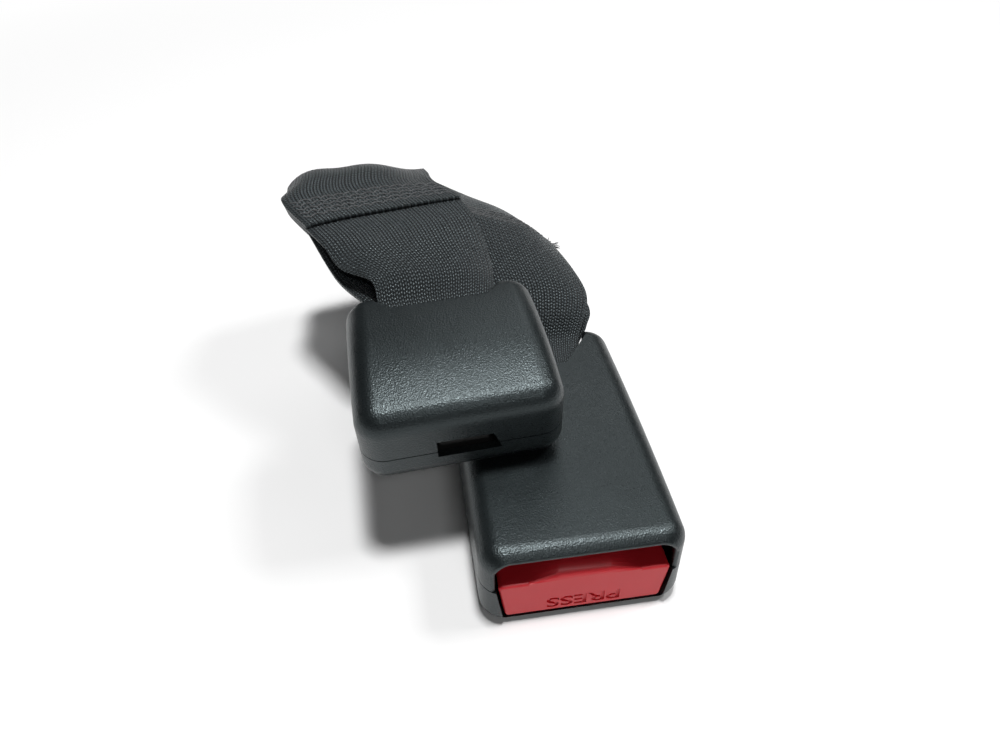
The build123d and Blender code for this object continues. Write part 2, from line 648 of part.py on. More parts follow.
def release_slider():
    """Slider behind the small slot: a key pushed in moves it back and pulls the latch down."""
    arm_in = receptacle_frame_width / 2 + 0.3
    arm_out = arm_in + slider_arm
    low = receptacle_pivot_z - slider_depth
    half_pad = slider_pad_width / 2
    wing = slider_spring_x + slider_arm
    bridge_front = slider_back - slider_bridge
    pad = block(-half_pad, half_pad, slider_front, slider_back, pad_bottom, pad_top)
    bridge = block(-wing, wing, bridge_front, slider_back, low, pad_top)
    arms = mirrored(arm_in, arm_out, bridge_front, receptacle_ear_y + 4, low, pad_top)
    arms = arms - cam_slot(receptacle_ear_y, receptacle_pivot_y, receptacle_pivot_z,
                           receptacle_latch_angle, slider_travel, receptacle_ear_radius,
                           receptacle_width)
    return pad + bridge + arms


def receptacle_head():
    """All pieces of the receptacle in its own frame, by node name."""
    upper, lower = receptacle_covers()
    ear_reach = receptacle_frame_width / 2 + 0.3 + slider_arm + 0.2
    latch_width = receptacle_frame_width - 2 * sheet_steel - 0.8
    spring_z = (receptacle_pivot_z - slider_depth + pad_top) / 2
    latch_low = receptacle_pivot_z - receptacle_latch_thickness / 2
    springs = [coil_along(x, slider_back, spring_z, 1.7, 0.3, slider_spring_length, 6)
               for x in (-slider_spring_x, slider_spring_x)]
    return {
        "receptacle_upper_cover": upper,
        "receptacle_lower_cover": lower,
        "receptacle_frame": receptacle_frame(),
        "receptacle_latch": latch(latch_width, receptacle_pivot_y, receptacle_pivot_z,
                                  receptacle_latch_thickness, receptacle_tooth_y,
                                  receptacle_tooth_length, receptacle_tooth_width,
                                  receptacle_frame_top - 0.4, receptacle_ear_y,
                                  receptacle_ear_radius, ear_reach, receptacle_pin_radius),
        "receptacle_latch_pin": pivot_pin(receptacle_frame_width, receptacle_pivot_y,
                                          receptacle_pivot_z, receptacle_pin_radius),
        "receptacle_latch_spring": Pos(0, receptacle_latch_spring_y, wall)
        * coil(latch_spring_radius - 0.5, 0.28, latch_low - wall, 4),
        "release_slider": release_slider(),
        "slider_springs": Compound(springs),
        "receptacle_ejector": ejector(receptacle_frame_width, receptacle_frame_under,
                                      receptacle_ejector_y, receptacle_ejector_end,
                                      receptacle_tooth_width,
                                      receptacle_tooth_y + receptacle_tooth_length),
        "receptacle_ejector_spring": coil_along(0, receptacle_ejector_end,
                                                receptacle_frame_under - 1.5, 1.0, 0.2,
                                                receptacle_ejector_spring_length, 5),
    }


# ---------------------------------------------------------------- places of the heads
turn = Rot(0, 0, receptacle_yaw) * Rot(0, receptacle_roll, 0) * Rot(receptacle_pitch, 0, 0)
receptacle_place = Pos(*receptacle_corner) * turn
buckle_place = Pos(0, 0, 0)
row_place = Pos(0, -buckle_length / 2, 0)


# ---------------------------------------------------------------- webbing
def width_direction(yaw, roll):
    """Unit vector across the strap."""
    yaw, roll = radians(yaw), radians(roll)
    return Vector(cos(yaw) * cos(roll), sin(yaw) * cos(roll), sin(roll))


def free_station(x, y, z, yaw, roll, width=None):
    """A place of the strap: its middle, the direction of its width and its width."""
    return Vector(x, y, z), width_direction(yaw, roll), width or webbing_width


def head_station(place, y, z):
    """A place of the gathered strap inside a head."""
    middle = (place * Pos(0, y, z)).position
    across = (place * Pos(1, y, z)).position - middle
    return middle, across, gathered_width


def around_bar(place, bar_front, top, rear):
    """The strap's way in under a bar, round its front and out over it, past the rear of the head."""
    middle_z = top - sheet_steel / 2
    bend = sheet_steel / 2 + layer_clearance + webbing_thickness / 2
    centre_y = bar_front + sheet_steel / 2
    bend_points = [(centre_y + bend * cos(radians(turn)), middle_z + bend * sin(radians(turn)))
                   for turn in range(-90, -271, -30)]
    bar_rear = bar_front + strap_bar_length
    out_y = rear + 2.0
    way = [(out_y, middle_z - bend - loop_spread), (bar_rear, middle_z - bend)] + bend_points
    way = way + [(bar_rear, middle_z + bend), (out_y, middle_z + bend + loop_spread)]
    return [head_station(place, y, z) for y, z in way]


def eased(stations, span):
    """The same way with extra stations on a smooth curve wherever two lie further apart than span."""
    way = []
    for index in range(len(stations) - 1):
        start, end = stations[index], stations[index + 1]
        before = stations[max(index - 1, 0)]
        after = stations[min(index + 2, len(stations) - 1)]
        steps = max(1, round((end[0] - start[0]).length / span))
        for step in range(steps):
            t = step / steps
            shares = (-t ** 3 / 2 + t ** 2 - t / 2, 1.5 * t ** 3 - 2.5 * t ** 2 + 1,
                      -1.5 * t ** 3 + 2 * t ** 2 + t / 2, t ** 3 / 2 - t ** 2 / 2)
            four = (before, start, end, after)
            middle = sum((place[0] * share for place, share in zip(four, shares)), Vector())
            across = sum((place[1] * share for place, share in zip(four, shares)), Vector())
            width = start[2] + (end[2] - start[2]) * t
            way.append((middle, across.normalized(), width))
    return way + [stations[-1]]


def direction(stations, index):
    """The way the strap runs at a station."""
    before = stations[max(index - 1, 0)][0]
    after = stations[min(index + 1, len(stations) - 1)][0]
    return (after - before).normalized()


def layer_of(stations, offset):
    """The same stations moved outwards from the strap's face by offset."""
    moved = []
    for index, (middle, across, width) in enumerate(stations):
        normal = across.cross(direction(stations, index)).normalized()
        moved.append((middle + normal * offset, across, width))
    return moved


def strap_solid(stations):
    """One strap through all its stations, each section square to the way it runs."""
    sections = []
    for index, (middle, across, width) in enumerate(stations):
        along = direction(stations, index)
        along = (along - across * along.dot(across)).normalized()
        plane = Plane(origin=middle, x_dir=across, z_dir=along)
        sections.append(plane * Rectangle(width, webbing_thickness))
    return loft(sections, ruled=True)


def webbing():
    """The whole strap: cut end on top at the receptacle, round both bars, other end in between."""
    pitch = webbing_thickness + layer_clearance
    fold = eased([free_station(*numbers) for numbers in fold_stations], 4.5)
    outer, middle, inner = (layer_of(fold, step * pitch) for step in (1, 0, -1))
    in_buckle = around_bar(buckle_place, buckle_bar_front, buckle_tail_top, buckle_length)
    in_receptacle = around_bar(receptacle_place, receptacle_bar_front, receptacle_frame_top,
                               receptacle_length)
    way = outer + [free_station(*buckle_loop_under)] + in_buckle
    way = way + [free_station(*buckle_loop_over)] + inner[::-1]
    way = way + [free_station(*receptacle_loop_under)] + in_receptacle
    way = way + [free_station(*receptacle_loop_over)] + middle
    return strap_solid(eased(way, 9.0))


# ---------------------------------------------------------------- output
def main():
    os.makedirs("parts", exist_ok=True)
    nodes = {}
    for name, shape in buckle_head().items():
        nodes[name] = row_place * buckle_place * shape
    for name, shape in receptacle_head().items():
        nodes[name] = row_place * receptacle_place * shape
    nodes["webbing"] = row_place * webbing()
    for name, shape in nodes.items():
        export_step(shape, f"parts/{name}.step")


main()
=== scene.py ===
import json
import math
import random

import bmesh
import bpy
from mathutils import Matrix, Vector


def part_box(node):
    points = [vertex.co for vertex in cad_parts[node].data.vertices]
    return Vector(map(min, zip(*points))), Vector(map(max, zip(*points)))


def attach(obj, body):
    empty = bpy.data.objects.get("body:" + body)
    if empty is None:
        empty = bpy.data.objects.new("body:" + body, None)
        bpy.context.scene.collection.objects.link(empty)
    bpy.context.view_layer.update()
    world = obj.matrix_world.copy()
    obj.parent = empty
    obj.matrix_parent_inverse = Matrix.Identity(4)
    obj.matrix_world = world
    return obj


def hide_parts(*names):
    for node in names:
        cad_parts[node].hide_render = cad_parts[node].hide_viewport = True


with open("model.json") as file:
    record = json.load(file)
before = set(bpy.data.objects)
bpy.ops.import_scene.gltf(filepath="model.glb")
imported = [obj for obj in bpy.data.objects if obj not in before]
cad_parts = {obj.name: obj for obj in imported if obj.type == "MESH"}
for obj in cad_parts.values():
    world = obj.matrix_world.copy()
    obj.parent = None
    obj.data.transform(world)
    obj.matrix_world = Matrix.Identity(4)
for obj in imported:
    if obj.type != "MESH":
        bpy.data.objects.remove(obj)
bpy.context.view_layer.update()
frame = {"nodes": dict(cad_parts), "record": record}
nodes = frame["nodes"]
bpy.ops.object.select_all(action="DESELECT")

# ------------------------------------------------------------------ sizes, in millimetres
strap_width = 47.5
strap_thickness = 1.2
layer_pitch = 1.3              # from one stitched layer to the next
gathered_width = 30.6          # width of the strap inside a head
row_span = 1.5                 # rows of faces lie about this far apart along the strap
columns = 28                   # faces across the strap
middle_column = columns // 2
# From -1 at the strap's left edge to 1 at its right edge.
steps_across = [2 * column / columns - 1 for column in range(columns + 1)]

uncurled_share = 0.4           # of the half width: an edge curls only outside it
tuck_share = 0.25              # an edge that curls down comes in by this share of it
wave_depth = 0.9               # of the shallow waves in the fold
wave_fade = 1.6                # they fill the fold's first 1 / 1.6
wave_turn = 5.2                # radians of a wave from the strap's middle to its edge
wave_start = 0.6
slipped_rows = 8               # this many rows at the cut end slid out past the right edge
slip = 3.2                     # the last of them this far

half_buckle = 43.3             # from the buckle's front edge to the origin of the part
bar_half = 0.8                 # half the thickness of the steel bars
bar_clearance = 0.1
flare = 0.7                    # each run is this much further out where it leaves the head
# Front, rear and middle height of each bar, then where the strap leaves the head and its width
# there, all in the head's own frame. The corner and the turn place that frame in the buckle's.
buckle_bar = (71.1, 76.6, 18.226)
buckle_exit = (87.6, 36.5)
buckle_corner = Vector((0, 0, 0))
buckle_turn = Matrix.Identity(3)
receptacle_bar = (38.0, 43.5, 15.0)
receptacle_exit = (47.6, 32.5)
receptacle_corner = Vector((-24.7, 30.2, 25.4))
receptacle_turn = (Matrix.Rotation(math.radians(2.2), 3, "Z")
                   @ Matrix.Rotation(math.radians(-2.3), 3, "Y")
                   @ Matrix.Rotation(math.radians(8.6), 3, "X"))

# Stations of the strap: x, y, z, then yaw and roll of the width, then how far the left and the
# right edge curl down, then the width. First the middle layer of the fold, from the seam at the
# receptacle to the seam at the buckle.
fold_stations = (
    (-39.0, 106.5, 58.6, 11, 0, 0.8, 0.3, 47.5),
    (-46.0, 120.0, 59.6, 12, -4, 2.8, 1.0, 48.3),
    (-46.3, 131.0, 59.5, 14, -10, 7.5, 1.0, 47.5),
    (-46.8, 141.5, 55.6, 16, -13, 7.0, 0.0, 47.5),
    (-43.5, 144.0, 50.0, 17, -15, 3.0, 0.0, 47.5),
    (-33.0, 137.0, 48.5, 17, -16, 1.0, 1.0, 47.5),
    (-20.0, 127.0, 49.5, 15, -19, 0.0, 2.5, 47.5),
    (-6.5, 117.5, 46.0, 9, -24, 0.0, 3.0, 47.0),
)
# The loops between the seams and the heads.
receptacle_loop_over = (
    (-27.6, 81.5, 53.6, 4, -3, 2.0, 2.0, 35.5),
    (-32.4, 90.0, 57.0, 7, -3, 5.5, 2.0, 44.0),
    (-35.3, 98.5, 58.2, 10, -1, 2.0, 1.0, 46.5),
)
receptacle_loop_under = (
    (-29.0, 82.0, 45.0, 4, -3, 0.0, 0.0, 39.0),
    (-33.0, 93.0, 46.5, 7, -4, 0.0, 0.0, 45.0),
)
buckle_loop_over = (
    (-2.5, 108.5, 39.6, 3, -15, 0.0, 2.0, 46.5),
    (0.6, 100.0, 33.4, -2, -8, 0.0, 2.0, 45.0),
    (0.6, 93.0, 28.0, -1, -4, 0.5, 1.5, 42.0),
)
buckle_loop_under = (
    (1.5, 102.0, 25.5, -2, -8, 0.0, 0.0, 45.0),
    (1.2, 94.0, 19.8, -1, -4, 0.0, 0.0, 42.0),
)

receptacle_seam_start = 4.0    # the first row of stitches, from the start of the fold
receptacle_seam_rows = 5
receptacle_seam_gap = 2.1      # from row to row
buckle_seam_back = 14.0        # the first row of stitches, from the end of the fold
buckle_seam_rows = 4
buckle_seam_gap = 2.3
thread_radius = 0.26
thread_height = 0.12           # of the thread's middle over the cloth
thread_dive = 0.3              # how deep a stitch's ends go into the cloth
thread_thinning = 0.35         # share of its width that the thread loses there
stitch_lengths = (1.7, 2.2)    # shortest and longest
stitch_overlap = 1.05          # a stitch's thread against its run
stitch_advance = 0.92          # from stitch to stitch, against its length
zigzag_half = 0.55             # a stitch's ends lie this far before and after its row
seam_half_width = 22.0

yarn_radius = 0.22
yarn_count = 16

word_height = 5.2
word_width = 18.7
word_depth = 0.5
word_boldness = 0.1
word_middle_z = 6.1
merge_gap = 0.001              # corners that are closer than this are one


def part_place(point):
    """A point of the buckle's own frame, in the part's frame and in metres."""
    return Vector((point.x, point.y - half_buckle, point.z)) / 1000


# ------------------------------------------------------------------ shader expressions
def add_node(tree, kind, settings=None, output=0, **sockets):
    """One node: its settings first, then its sockets, by name or as an underscore and a number."""
    node = tree.nodes.new(kind)
    for name, value in (settings or {}).items():
        setattr(node, name, value)
    for name, value in sockets.items():
        slot = node.inputs[int(name[1:]) if name[1:].isdigit() else name.replace("_", " ")]
        if isinstance(value, Signal):
            tree.links.new(value.socket, slot)
        else:
            slot.default_value = value
    return Signal(tree, node.outputs[output]) if node.outputs else None


class Signal:
    """A socket that takes part in sums. Each operation adds one Math node."""

    def __init__(self, tree, socket):
        self.tree = tree
        self.socket = socket

    def join(self, operation, *values):
        return add_node(self.tree, "ShaderNodeMath", {"operation": operation},
                        **{f"_{slot}": value for slot, value in enumerate(values)})

    def __add__(self, other):
        return self.join("ADD", self, other)

    def __radd__(self, other):
        return self.join("ADD", other, self)

    def __sub__(self, other):
        return self.join("SUBTRACT", self, other)

    def __rsub__(self, other):
        return self.join("SUBTRACT", other, self)

    def __mul__(self, other):
        return self.join("MULTIPLY", self, other)

    def __rmul__(self, other):
        return self.join("MULTIPLY", other, self)

    def __truediv__(self, other):
        return self.join("DIVIDE", self, other)

    def __pow__(self, other):
        return self.join("POWER", self, other)

    def floor(self):
        return self.join("FLOOR", self)

    def fract(self):
        return self.join("FRACT", self)

    def size(self):
        return self.join("ABSOLUTE", self)

    def between(self, low, high):
        """0 at low and 1 at high, clamped."""
        return add_node(self.tree, "ShaderNodeMapRange", Value=self, From_Min=low, From_Max=high)


class Finish:
    """A material under construction."""

    def __init__(self, name, **constants):
        self.material = bpy.data.materials.new(name)
        self.material.use_nodes = True
        self.tree = self.material.node_tree
        self.shader = self.tree.nodes["Principled BSDF"]
        for socket, value in constants.items():
            self.shader.inputs[socket.replace("_", " ")].default_value = value

    def node(self, kind, settings=None, output=0, **sockets):
        return add_node(self.tree, kind, settings, output, **sockets)

    def place(self):
        """Object coordinates."""
        return self.node("ShaderNodeTexCoord", output="Object")

    def stretched(self, place, scales):
        """Coordinates with a scale of their own along each axis, for marks that run one way."""
        return self.node("ShaderNodeMapping", Vector=place, Scale=scales)

    def noise(self, place, scale, detail):
        return self.node("ShaderNodeTexNoise", Vector=place, Scale=scale, Detail=detail)

    def cells(self, place, scale):
        return self.node("ShaderNodeTexVoronoi", Vector=place, Scale=scale)

    def blend(self, share, first, second):
        """A mix of two colours."""
        return self.node("ShaderNodeMix", {"data_type": "RGBA"}, output=2, _0=share, _6=first,
                         _7=second)

    def set(self, socket, signal):
        self.tree.links.new(signal.socket, self.shader.inputs[socket])

    def relief(self, height, depth):
        """Bump of a height from 0 to 1, of a depth in millimetres."""
        self.set("Normal", self.node("ShaderNodeBump", Height=height, Distance=depth / 1000))


def colour(red, green, blue):
    return (red, green, blue, 1.0)


def grey(level):
    return colour(level, level, level)


cool_glint = colour(0.82, 0.97, 1.0)


# ------------------------------------------------------------------ finishes
def moulded_black():
    """Black housing plastic with a fine leather grain whose peaks are polished."""
    finish = Finish("moulded_black", Specular_IOR_Level=0.55, Specular_Tint=cool_glint)
    place = finish.place()
    pebbles = finish.cells(place, 2300.0)
    fine = finish.noise(place, 3400.0, 2.0)
    cloud = finish.noise(place, 60.0, 3.0)
    glint = fine.between(0.56, 0.70)
    black = finish.blend(cloud, colour(0.005, 0.0065, 0.0070), colour(0.009, 0.0115, 0.0125))
    finish.set("Base Color", black)
    finish.set("Roughness", 0.31 + cloud * 0.12 - glint * 0.14)
    finish.relief(pebbles * 0.8 + fine * 0.5, 0.075)
    return finish.material


def button_red():
    """Smooth red plastic, a little cloudy."""
    finish = Finish("button_red")
    place = finish.place()
    cloud = finish.noise(place, 90.0, 3.0)
    fine = finish.noise(place, 2600.0, 2.0)
    red = finish.blend(cloud, colour(0.60, 0.012, 0.021), colour(0.68, 0.017, 0.028))
    finish.set("Base Color", red)
    finish.set("Roughness", 0.36 + fine * 0.1)
    finish.relief(fine, 0.006)
    return finish.material


def inner_plastic():
    """Matte dark plastic of the slider and the forks."""
    finish = Finish("inner_plastic")
    fine = finish.noise(finish.place(), 1800.0, 2.0)
    finish.set("Base Color", finish.blend(fine, grey(0.018), grey(0.03)))
    finish.set("Roughness", 0.5 + fine * 0.15)
    finish.relief(fine, 0.01)
    return finish.material


def stamped_steel():
    """Zinc-plated sheet with the lines of the rolling mill along it."""
    finish = Finish("stamped_steel", Metallic=1.0)
    place = finish.place()
    lines = finish.noise(finish.stretched(place, (4.0, 0.3, 4.0)), 700.0, 3.0)
    spots = finish.noise(place, 160.0, 4.0)
    finish.set("Base Color", finish.blend(spots, grey(0.36), grey(0.5)))
    finish.set("Roughness", 0.28 + lines * 0.22)
    finish.relief(lines, 0.006)
    return finish.material


def spring_wire():
    finish = Finish("spring_wire", Metallic=1.0)
    spots = finish.noise(finish.place(), 900.0, 3.0)
    finish.set("Base Color", finish.blend(spots, grey(0.2), grey(0.34)))
    finish.set("Roughness", 0.25 + spots * 0.2)
    return finish.material


def woven_black():
    """Ribbed polyester webbing. Its map runs in millimetres: across, then along the strap.

    Warp bundles with floats, a little out of step from bundle to bundle, and a deeper gap after
    every second bundle.
    """
    bundle_width = 1.0
    float_length = 1.15
    finish = Finish("woven_black", Specular_Tint=cool_glint, Sheen_Weight=0.08,
                    Sheen_Roughness=0.4)
    map_place = finish.node("ShaderNodeUVMap", {"uv_map": "weave"})
    across = finish.node("ShaderNodeSeparateXYZ", output="X", Vector=map_place)
    along = finish.node("ShaderNodeSeparateXYZ", output="Y", Vector=map_place)
    bundles = across / bundle_width
    pair = (bundles.floor() / 2.0).fract() * 2.0
    floats = along / float_length + pair * 0.3
    bundle_round = 1.0 - ((bundles.fract() - 0.5).size() * 2.0) ** 3.0
    float_round = 1.0 - ((floats.fract() - 0.5).size() * 2.0) ** 2.0
    groove = ((bundles / 2.0).fract() - 0.5).size().between(0.36, 0.5)
    height = bundle_round * (0.35 + 0.65 * float_round) - groove * 0.5
    fibre = finish.noise(finish.stretched(map_place, (9.0, 1.2, 1.0)), 1.0, 2.0)
    # Mask of the float crowns, away from the gaps: it carries a painted highlight in the colour and
    # makes those crowns glossier
    crown = (bundle_round * float_round - groove * 0.6).between(0.35, 0.95)
    gloss_and_painted_highlight = crown * fibre.between(0.25, 0.65)
    cloud = finish.noise(finish.place(), 70.0, 3.0)
    black = finish.blend(cloud, colour(0.005, 0.0055, 0.0062), colour(0.010, 0.011, 0.0125))
    # Painted highlight: the crowns of the floats are painted a pale blue grey over the black, and
    # the gaps stay black
    finish.set("Base Color", finish.blend(gloss_and_painted_highlight, black, colour(0.068, 0.080, 0.086)))
    finish.set("Roughness", 0.50 - gloss_and_painted_highlight * 0.28)
    finish.relief(height + fibre * 0.12, 0.36)
    return finish.material


def seam_thread():
    """Dark grey twisted thread."""
    finish = Finish("seam_thread", Sheen_Weight=0.2)
    twist = finish.noise(finish.place(), 2600.0, 2.0)
    dyed = finish.blend(twist, colour(0.020, 0.021, 0.023), colour(0.120, 0.126, 0.130))
    finish.set("Base Color", dyed)
    finish.set("Roughness", 0.6 + twist * 0.1)
    finish.relief(twist, 0.05)
    return finish.material


moulded = moulded_black()
red = button_red()
plastic = inner_plastic()
steel = stamped_steel()
wire = spring_wire()
weave = woven_black()
thread = seam_thread()

finish_of_slot = {"cover_black": moulded, "button_red": red, "inner_plastic": plastic,
                  "zinc_steel": steel, "spring_steel": wire, "webbing_black": weave}
for subpart in frame["record"]["subparts"]:
    for holder in nodes[subpart["node"]].material_slots:
        holder.material = finish_of_slot[subpart["material_slot"]]


# ------------------------------------------------------------------ handling of new pieces
def add_object(name, data):
    added = bpy.data.objects.new(name, data)
    bpy.context.collection.objects.link(added)
    return added


def select_only(piece):
    bpy.ops.object.select_all(action="DESELECT")
    bpy.context.view_layer.objects.active = piece
    piece.select_set(True)


def apply_modifiers(piece):
    select_only(piece)
    for modifier in list(piece.modifiers):
        bpy.ops.object.modifier_apply(modifier=modifier.name)
    bpy.ops.object.select_all(action="DESELECT")


def dress(piece, finish):
    """Gives a new piece its finish and smooth faces."""
    piece.data.materials.clear()
    piece.data.materials.append(finish)
    for face in piece.data.polygons:
        face.use_smooth = True


def merge_corners(mesh, face_outwards=False):
    """Joins loose faces where their corners meet."""
    merged = bmesh.new()
    merged.from_mesh(mesh)
    bmesh.ops.remove_doubles(merged, verts=merged.verts, dist=merge_gap / 1000)
    if face_outwards:
        bmesh.ops.recalc_face_normals(merged, faces=merged.faces)
    merged.to_mesh(mesh)
    merged.free()


# ------------------------------------------------------------------ strap
def width_direction(yaw, roll):
    yaw, roll = math.radians(yaw), math.radians(roll)
    return Vector((math.cos(yaw) * math.cos(roll), math.sin(yaw) * math.cos(roll), math.sin(roll)))


def level_row(middle, across, width):
    return [middle + across * (width / 2 * step) for step in steps_across]


def free_row(x, y, z, yaw, roll, left_curl, right_curl, width):
    """A row of points across the strap between the heads, its edges curled down and in."""
    row = level_row(Vector((x, y, z)), width_direction(yaw, roll), width)
    curled = []
    for point, step in zip(row, steps_across):
        left = left_curl * max(0.0, (-step - uncurled_share) / (1 - uncurled_share)) ** 2
        right = right_curl * max(0.0, (step - uncurled_share) / (1 - uncurled_share)) ** 2
        curled.append(point + Vector((tuck_share * (left - right), 0, -left - right)))
    return curled


def rows_at(stations):
    return [free_row(*station) for station in stations]


def head_row(turn, corner, y, z, width):
    """A row of points across the strap inside a head."""
    return level_row(turn @ Vector((0, y, z)) + corner, turn @ Vector((1, 0, 0)), width)


def around_bar(turn, corner, bar, way_out):
    """In under a bar, round its front and out over it. The strap is wider where it leaves."""
    front, rear, middle_z = bar
    out_y, out_width = way_out
    bend = bar_half + bar_clearance + strap_thickness / 2
    centre = front + bar_half
    way = [(out_y, middle_z - bend - flare), (rear, middle_z - bend)]
    for angle in range(-90, -271, -15):
        way.append((centre + bend * math.cos(math.radians(angle)),
                    middle_z + bend * math.sin(math.radians(angle))))
    way += [(rear, middle_z + bend), (out_y, middle_z + bend + flare)]
    widths = [out_width] + [gathered_width] * (len(way) - 2) + [out_width]
    return [head_row(turn, corner, y, z, width) for (y, z), width in zip(way, widths)]


def spread(rows):
    """Rows about row_span apart, on a smooth curve through the given ones."""
    way = []
    for index in range(len(rows) - 1):
        start, end = rows[index], rows[index + 1]
        before, after = rows[max(index - 1, 0)], rows[min(index + 2, len(rows) - 1)]
        steps = max(1, round((end[middle_column] - start[middle_column]).length / row_span))
        for number in range(steps):
            t = number / steps
            shares = (-t ** 3 / 2 + t ** 2 - t / 2, 1.5 * t ** 3 - 2.5 * t ** 2 + 1,
                      -1.5 * t ** 3 + 2 * t ** 2 + t / 2, t ** 3 / 2 - t ** 2 / 2)
            way.append([a * shares[0] + b * shares[1] + c * shares[2] + d * shares[3]
                        for a, b, c, d in zip(before, start, end, after)])
    return way + [rows[-1]]


def run_along(rows):
    """How far along the strap each row lies, down its middle."""
    run = [0.0]
    for before, after in zip(rows, rows[1:]):
        run.append(run[-1] + (after[middle_column] - before[middle_column]).length)
    return run


def normals_of(rows):
    """Directions square to the strap's face, at every point."""
    found = []
    for index, row in enumerate(rows):
        before, after = rows[max(index - 1, 0)], rows[min(index + 1, len(rows) - 1)]
        line = []
        for column in range(columns + 1):
            across = row[min(column + 1, columns)] - row[max(column - 1, 0)]
            line.append(across.cross(after[column] - before[column]).normalized())
        found.append(line)
    return found


def lifted(rows, directions, height):
    return [[point + direction * height for point, direction in zip(row, line)]
            for row, line in zip(rows, directions)]


def fold_rows():
    """The middle layer of the fold with its shallow waves."""
    rows = spread(rows_at(fold_stations))
    waved = []
    for index, (row, line) in enumerate(zip(rows, normals_of(rows))):
        share = index / (len(rows) - 1)
        depth = wave_depth * math.sin(math.pi * min(1.0, share * wave_fade)) ** 2
        waved.append([point + direction * depth * math.sin(wave_turn * step + wave_start)
                      for point, direction, step in zip(row, line, steps_across)])
    return waved


def slipped(rows):
    """The rows with the last ones sliding out past the right edge of the other layers."""
    kept = rows[:-slipped_rows]
    for number, row in enumerate(rows[-slipped_rows:], 1):
        way = (row[-1] - row[0]).normalized() * slip * (number / slipped_rows) ** 2
        kept.append([point + way for point in row])
    return kept


def woven_strip(name, rows):
    """A sheet through the rows, with a map in millimetres across and along it."""
    run = run_along(rows)
    stride = columns + 1
    points = [part_place(point) for row in rows for point in row]
    faces = [(r * stride + c, r * stride + c + 1, (r + 1) * stride + c + 1, (r + 1) * stride + c)
             for r in range(len(rows) - 1) for c in range(columns)]
    mesh = bpy.data.meshes.new(name)
    mesh.from_pydata(points, [], faces)
    layer = mesh.uv_layers.new(name="weave")
    for loop in mesh.loops:
        r, c = divmod(loop.vertex_index, stride)
        layer.data[loop.index].uv = (strap_width * (c / columns - 0.5), run[r])
    return add_object(name, mesh), run[-1]


# The strap runs along the fold's outer layer, round the buckle's bar, back along the inner layer,
# round the receptacle's bar and along the middle layer, with one of its cut ends at each seam.
middle_layer = fold_rows()
directions = normals_of(middle_layer)
outer_layer = lifted(middle_layer, directions, layer_pitch)
inner_layer = lifted(middle_layer, directions, -layer_pitch)
middle_layer = slipped(middle_layer)
strap_rows = outer_layer + rows_at(buckle_loop_under)
strap_rows += around_bar(buckle_turn, buckle_corner, buckle_bar, buckle_exit)
strap_rows += rows_at(buckle_loop_over[::-1]) + inner_layer[::-1]
strap_rows += rows_at(receptacle_loop_under[::-1])
strap_rows += around_bar(receptacle_turn, receptacle_corner, receptacle_bar, receptacle_exit)
strap_rows += rows_at(receptacle_loop_over) + middle_layer
strap, strap_length = woven_strip("strap", spread(strap_rows))
thicken = strap.modifiers.new("cloth", "SOLIDIFY")
thicken.thickness = strap_thickness / 1000
thicken.offset = 0
apply_modifiers(strap)
dress(strap, weave)
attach(strap, "heads_and_strap")
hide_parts("webbing")


# ------------------------------------------------------------------ seams
def stitch_mesh():
    """One stitch, 1 mm long: a thread that dives into the cloth and thins at both ends."""
    half_length = 0.0005
    bpy.ops.mesh.primitive_cylinder_add(vertices=6, radius=thread_radius / 1000,
                                        depth=2 * half_length, end_fill_type="NOTHING",
                                        rotation=(0, math.radians(90), 0))
    stitch = bpy.context.object
    bpy.ops.object.transform_apply(location=False, rotation=True, scale=False)
    bpy.ops.object.mode_set(mode="EDIT")
    bpy.ops.mesh.select_all(action="SELECT")
    bpy.ops.mesh.subdivide(number_cuts=2)
    bpy.ops.object.mode_set(mode="OBJECT")
    for vertex in stitch.data.vertices:
        reach = abs(vertex.co.x) / half_length
        vertex.co.z -= thread_dive / 1000 * reach ** 2
        vertex.co.y *= 1 - thread_thinning * reach ** 2
    mesh = stitch.data.copy()
    bpy.data.objects.remove(stitch)
    return mesh


def sew(name, surface, side, places, seed):
    """Zigzag rows across the strap, on one side of a layer, at the given places along it."""
    random.seed(seed)
    run = run_along(surface)
    lines = normals_of(surface)
    one = stitch_mesh()
    seam = bmesh.new()

    def spot(along, across):
        """A point of the thread's middle, and the direction away from the cloth."""
        index = min(range(len(run)), key=lambda number: abs(run[number] - along))
        index = max(1, min(index, len(run) - 2))
        ahead = (surface[index + 1][middle_column] - surface[index - 1][middle_column]).normalized()
        place = (across / strap_width + 0.5) * columns
        low = max(0, min(int(place), columns - 1))
        point = surface[index][low].lerp(surface[index][low + 1], place - low)
        normal = lines[index][low] * side
        height = strap_thickness / 2 + thread_height
        return point + ahead * (along - run[index]) + normal * height, normal

    for along in places:
        across = -seam_half_width
        tilt = -zigzag_half
        while across < seam_half_width:
            length = random.uniform(*stitch_lengths)
            start, normal = spot(along - tilt, across)
            end, _ = spot(along + tilt, across + length)
            x_axis = (end - start).normalized()
            z_axis = (normal - x_axis * normal.dot(x_axis)).normalized()
            y_axis = z_axis.cross(x_axis)
            turn = Matrix((x_axis, y_axis, z_axis)).transposed().to_4x4()
            stretch = Matrix.Diagonal(((end - start).length * stitch_overlap, 1, 1, 1))
            move = Matrix.Translation(part_place((start + end) / 2))
            before = len(seam.verts)
            seam.from_mesh(one)
            seam.verts.ensure_lookup_table()
            bmesh.ops.transform(seam, matrix=move @ turn @ stretch, verts=seam.verts[before:])
            across += length * stitch_advance
            tilt = -tilt
    mesh = bpy.data.meshes.new(name)
    seam.to_mesh(mesh)
    seam.free()
    piece = add_object(name, mesh)
    dress(piece, thread)
    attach(piece, "heads_and_strap")
    return piece


